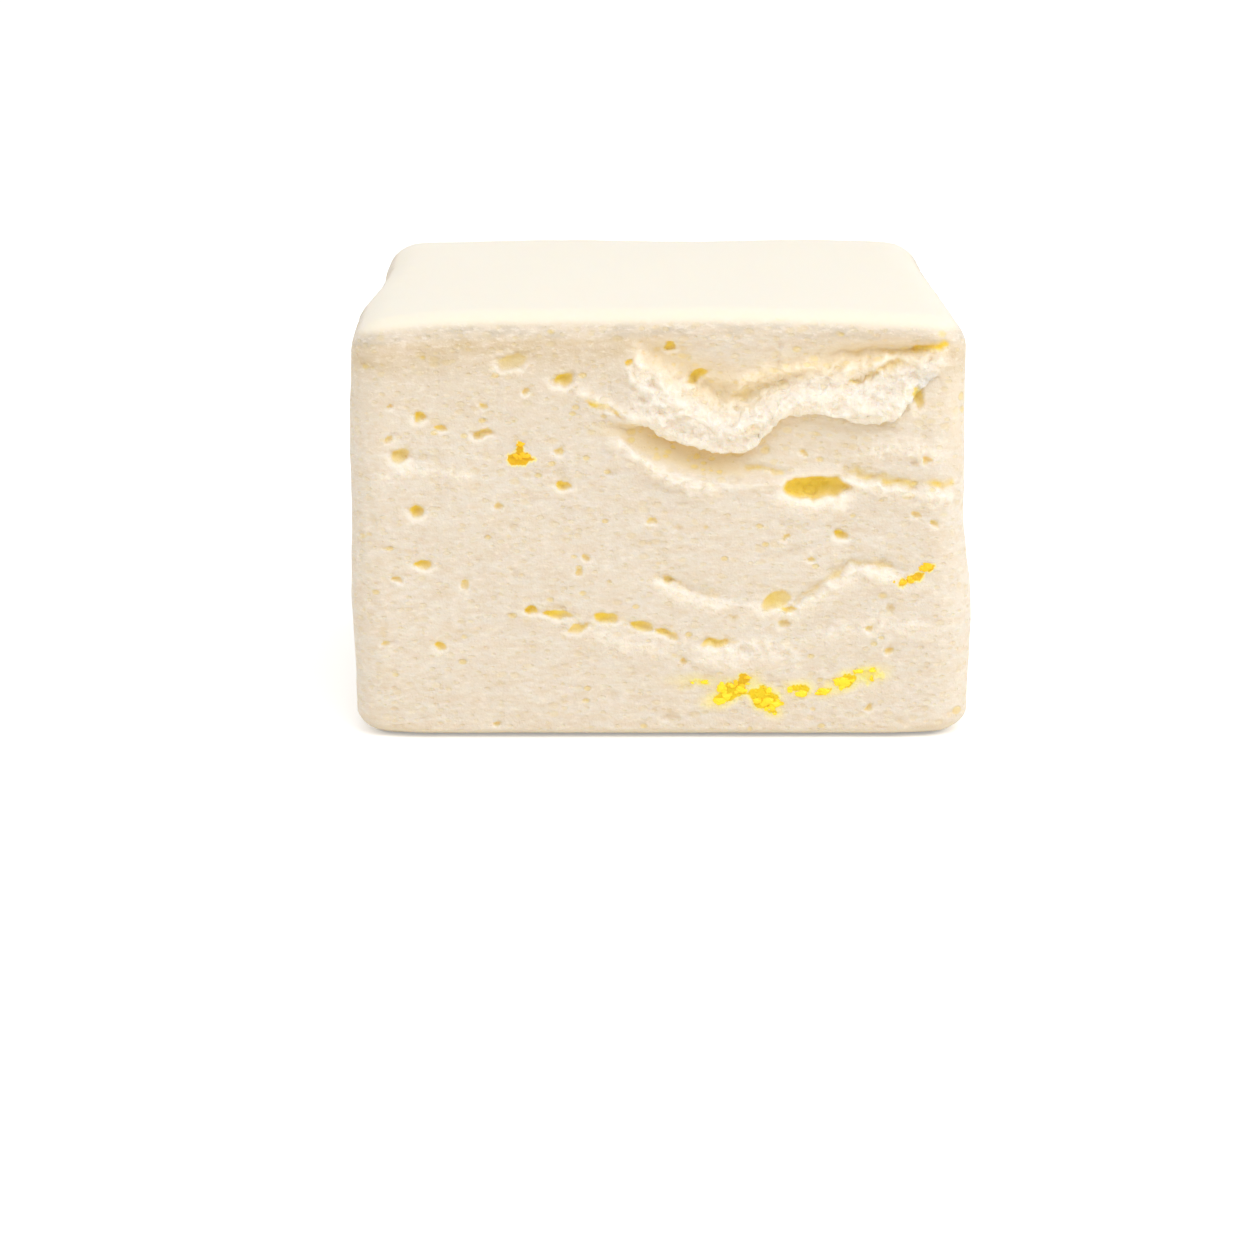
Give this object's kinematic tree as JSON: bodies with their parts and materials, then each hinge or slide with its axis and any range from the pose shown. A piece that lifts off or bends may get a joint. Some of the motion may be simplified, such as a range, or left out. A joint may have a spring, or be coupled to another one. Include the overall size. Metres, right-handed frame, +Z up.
{
  "type": "marshmallow",
  "caption": "Hand-cut block marshmallow with a smooth dusted top, rounded edges and a torn, bubbled cut front.",
  "frame": {"origin": "middle of the base, on the plane that the block stands on", "axes": "+X along the front to the right as seen from the front, +Y from the front to the back, +Z up"},
  "size_m": [0.0394, 0.0374, 0.0271],
  "materials": {
    "marshmallow": "soft aerated sugar foam, cream white, matte, dusted with fine starch; cut sides finely pored, warmer and golden inside the bubbles, with a few lemon-yellow granules"
  },
  "bodies": {
    "root": {"marshmallow": "marshmallow"}
  },
  "joints": []
}
